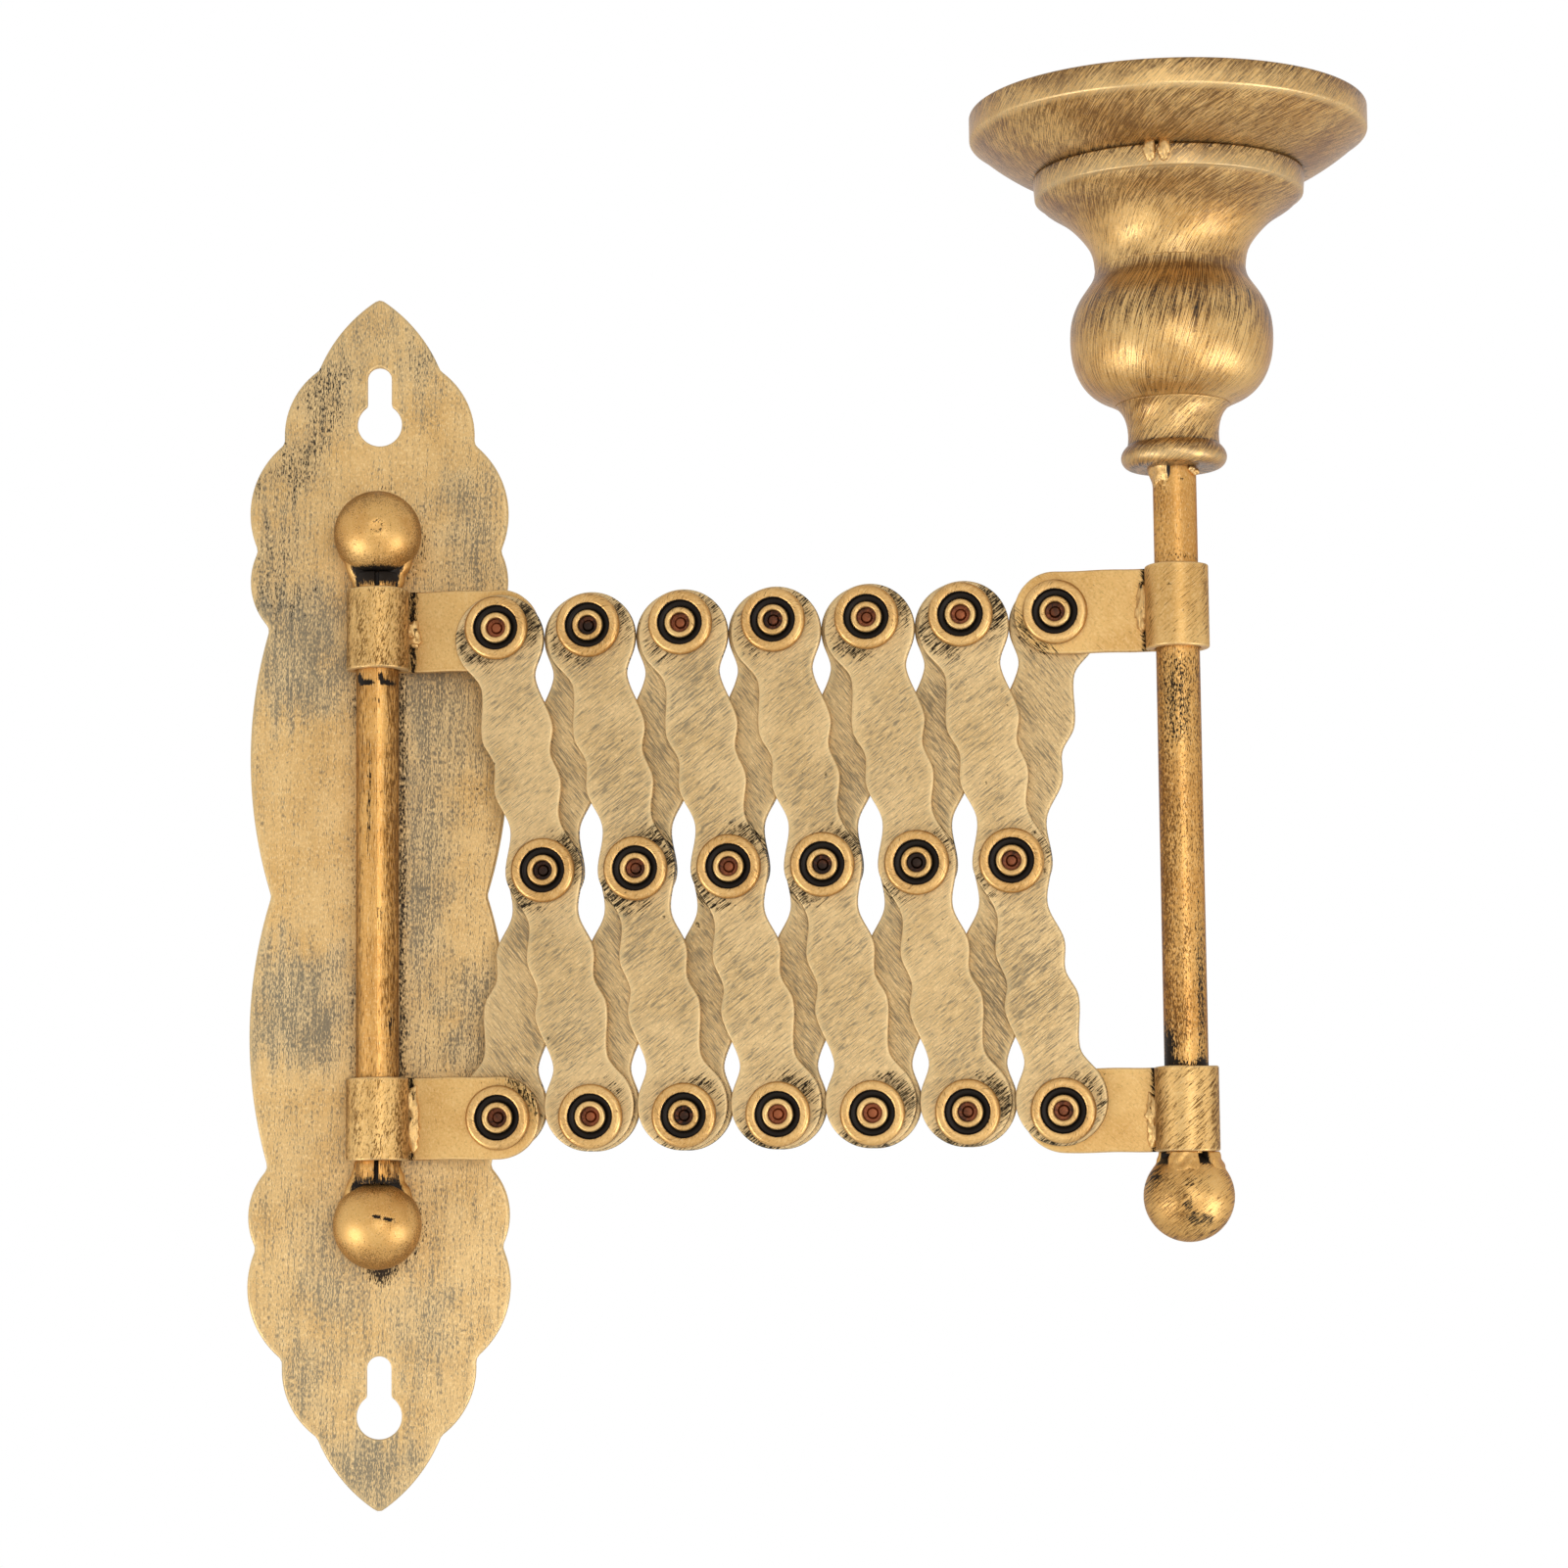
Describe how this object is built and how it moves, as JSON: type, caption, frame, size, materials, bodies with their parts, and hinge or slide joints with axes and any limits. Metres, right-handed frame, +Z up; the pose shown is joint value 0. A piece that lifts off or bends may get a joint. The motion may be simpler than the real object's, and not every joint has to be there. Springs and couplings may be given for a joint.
{
  "type": "candle wall sconce",
  "caption": "Candle sconce with a scalloped wall plate, a lazy-tongs arm that swings and extends, and a turned cup with a drip pan.",
  "frame": {"origin": "centre of the wall plate's back face", "axes": "+X along the wall towards the picture's right, +Y into the wall, +Z up"},
  "size_m": [0.1877, 0.067, 0.2313],
  "materials": {
    "plate_gold": "brushed antique gold paint over dark grey",
    "tube_gold": "antique gold paint with dark wear",
    "ball_gold": "satin antique gold paint",
    "collar_gold": "antique gold paint with dark wear",
    "front_link_gold": "brushed antique gold paint over dark grey",
    "rear_link_gold": "brushed antique gold paint over dark grey",
    "washer_gold": "gold paint with a black dished floor",
    "rivet_gold": "gold rolled lip round a copper-dark bore",
    "cup_gold": "brushed antique gold paint over dark grey",
    "screw_steel": "blackened steel"
  },
  "bodies": {
    "wall_plate": {"backplate": "plate_gold", "pivot_tube": "tube_gold", "upper_ball_finial": "ball_gold", "lower_ball_finial": "ball_gold", "anchor_rivets": "screw_steel"},
    "swing_collar": {"lower_wall_collar": "collar_gold", "lower_wall_rivets": "rivet_gold", "lower_wall_washers": "washer_gold"},
    "top_collar": {"upper_wall_collar": "collar_gold", "upper_wall_rivets": "rivet_gold", "upper_wall_washers": "washer_gold"},
    "rear_1": {"rear_link_1": "rear_link_gold", "rear_1_rivets": "rivet_gold", "rear_1_washers": "washer_gold"},
    "front_1": {"front_link_1": "front_link_gold", "front_1_rivets": "rivet_gold", "front_1_washers": "washer_gold"},
    "rear_2": {"rear_link_2": "rear_link_gold", "rear_2_rivets": "rivet_gold", "rear_2_washers": "washer_gold"},
    "front_2": {"front_link_2": "front_link_gold", "front_2_rivets": "rivet_gold", "front_2_washers": "washer_gold"},
    "rear_3": {"rear_link_3": "rear_link_gold", "rear_3_rivets": "rivet_gold", "rear_3_washers": "washer_gold"},
    "front_3": {"front_link_3": "front_link_gold", "front_3_rivets": "rivet_gold", "front_3_washers": "washer_gold"},
    "rear_4": {"rear_link_4": "rear_link_gold", "rear_4_rivets": "rivet_gold", "rear_4_washers": "washer_gold"},
    "front_4": {"front_link_4": "front_link_gold", "front_4_rivets": "rivet_gold", "front_4_washers": "washer_gold"},
    "rear_5": {"rear_link_5": "rear_link_gold", "rear_5_rivets": "rivet_gold", "rear_5_washers": "washer_gold"},
    "front_5": {"front_link_5": "front_link_gold", "front_5_rivets": "rivet_gold", "front_5_washers": "washer_gold"},
    "rear_6": {"rear_link_6": "rear_link_gold", "rear_6_rivets": "rivet_gold", "rear_6_washers": "washer_gold"},
    "front_6": {"front_link_6": "front_link_gold", "front_6_rivets": "rivet_gold", "front_6_washers": "washer_gold"},
    "candle_end": {"lower_stem_collar": "collar_gold", "candle_stem": "tube_gold", "stem_ball_finial": "ball_gold", "neck_ferrule": "cup_gold", "cup_bulb": "cup_gold", "cup_tier": "cup_gold", "drip_pan": "cup_gold", "cup_screw": "screw_steel"},
    "stem_slider": {"upper_stem_collar": "collar_gold"}
  },
  "joints": [
    {"name": "arm_swing", "type": "hinge", "parent": "wall_plate", "child": "swing_collar", "pos_m": [0, -0.00865, -0.03796], "axis": [0, 0, -1], "range_deg": [0, 157.9]},
    {"name": "arm_extend", "type": "hinge", "parent": "swing_collar", "child": "rear_1", "pos_m": [0.02046, -0.00919, -0.03796], "axis": [0.1873, 0.9823, 0], "range_deg": [0, 49]},
    {"name": "cross_1", "type": "hinge", "parent": "rear_1", "child": "front_1", "pos_m": [0.02819, -0.01066, 0.0033], "axis": [0.1873, 0.9823, 0], "range_deg": [-98.5, 0]},
    {"name": "link_1", "type": "hinge", "parent": "rear_1", "child": "front_2", "pos_m": [0.03592, -0.01214, 0.04456], "axis": [0.1873, 0.9823, 0], "range_deg": [-98.5, 0]},
    {"name": "cross_2", "type": "hinge", "parent": "front_2", "child": "rear_2", "pos_m": [0.04365, -0.01361, 0.0033], "axis": [0.1873, 0.9823, 0], "range_deg": [0, 98.5]},
    {"name": "link_2", "type": "hinge", "parent": "front_2", "child": "rear_3", "pos_m": [0.05138, -0.01509, -0.03796], "axis": [0.1873, 0.9823, 0], "range_deg": [0, 98.5]},
    {"name": "cross_3", "type": "hinge", "parent": "rear_3", "child": "front_3", "pos_m": [0.05911, -0.01656, 0.0033], "axis": [0.1873, 0.9823, 0], "range_deg": [-98.5, 0]},
    {"name": "link_3", "type": "hinge", "parent": "rear_3", "child": "front_4", "pos_m": [0.06685, -0.01803, 0.04456], "axis": [0.1873, 0.9823, 0], "range_deg": [-98.5, 0]},
    {"name": "cross_4", "type": "hinge", "parent": "front_4", "child": "rear_4", "pos_m": [0.07458, -0.01951, 0.0033], "axis": [0.1873, 0.9823, 0], "range_deg": [0, 98.5]},
    {"name": "link_4", "type": "hinge", "parent": "front_4", "child": "rear_5", "pos_m": [0.08231, -0.02098, -0.03796], "axis": [0.1873, 0.9823, 0], "range_deg": [0, 98.5]},
    {"name": "cross_5", "type": "hinge", "parent": "rear_5", "child": "front_5", "pos_m": [0.09004, -0.02245, 0.0033], "axis": [0.1873, 0.9823, 0], "range_deg": [-98.5, 0]},
    {"name": "link_5", "type": "hinge", "parent": "rear_5", "child": "front_6", "pos_m": [0.09777, -0.02393, 0.04456], "axis": [0.1873, 0.9823, 0], "range_deg": [-98.5, 0]},
    {"name": "cross_6", "type": "hinge", "parent": "front_6", "child": "rear_6", "pos_m": [0.1055, -0.0254, 0.0033], "axis": [0.1873, 0.9823, 0], "range_deg": [0, 98.5]},
    {"name": "top_collar_tilt", "type": "hinge", "parent": "front_1", "child": "top_collar", "pos_m": [0.02046, -0.00919, 0.04456], "axis": [0.1873, 0.9823, 0], "range_deg": [0, 49.5]},
    {"name": "candle_level", "type": "hinge", "parent": "front_6", "child": "candle_end", "pos_m": [0.11323, -0.02688, -0.03796], "axis": [0.1873, 0.9823, 0], "range_deg": [0, 49.5]},
    {"name": "slider_level", "type": "hinge", "parent": "rear_6", "child": "stem_slider", "pos_m": [0.11323, -0.02688, 0.04456], "axis": [0.1873, 0.9823, 0], "range_deg": [-49.5, 0]}
  ],
  "couplings": [
    {"joint": "cross_1", "follows": "arm_extend", "ratio": -2},
    {"joint": "link_1", "follows": "arm_extend", "ratio": -2},
    {"joint": "cross_2", "follows": "arm_extend", "ratio": 2},
    {"joint": "link_2", "follows": "arm_extend", "ratio": 2},
    {"joint": "cross_3", "follows": "arm_extend", "ratio": -2},
    {"joint": "link_3", "follows": "arm_extend", "ratio": -2},
    {"joint": "cross_4", "follows": "arm_extend", "ratio": 2},
    {"joint": "link_4", "follows": "arm_extend", "ratio": 2},
    {"joint": "cross_5", "follows": "arm_extend", "ratio": -2},
    {"joint": "link_5", "follows": "arm_extend", "ratio": -2},
    {"joint": "cross_6", "follows": "arm_extend", "ratio": 2},
    {"joint": "top_collar_tilt", "follows": "arm_extend", "ratio": 1},
    {"joint": "candle_level", "follows": "arm_extend", "ratio": 1},
    {"joint": "slider_level", "follows": "arm_extend", "ratio": -1}
  ]
}
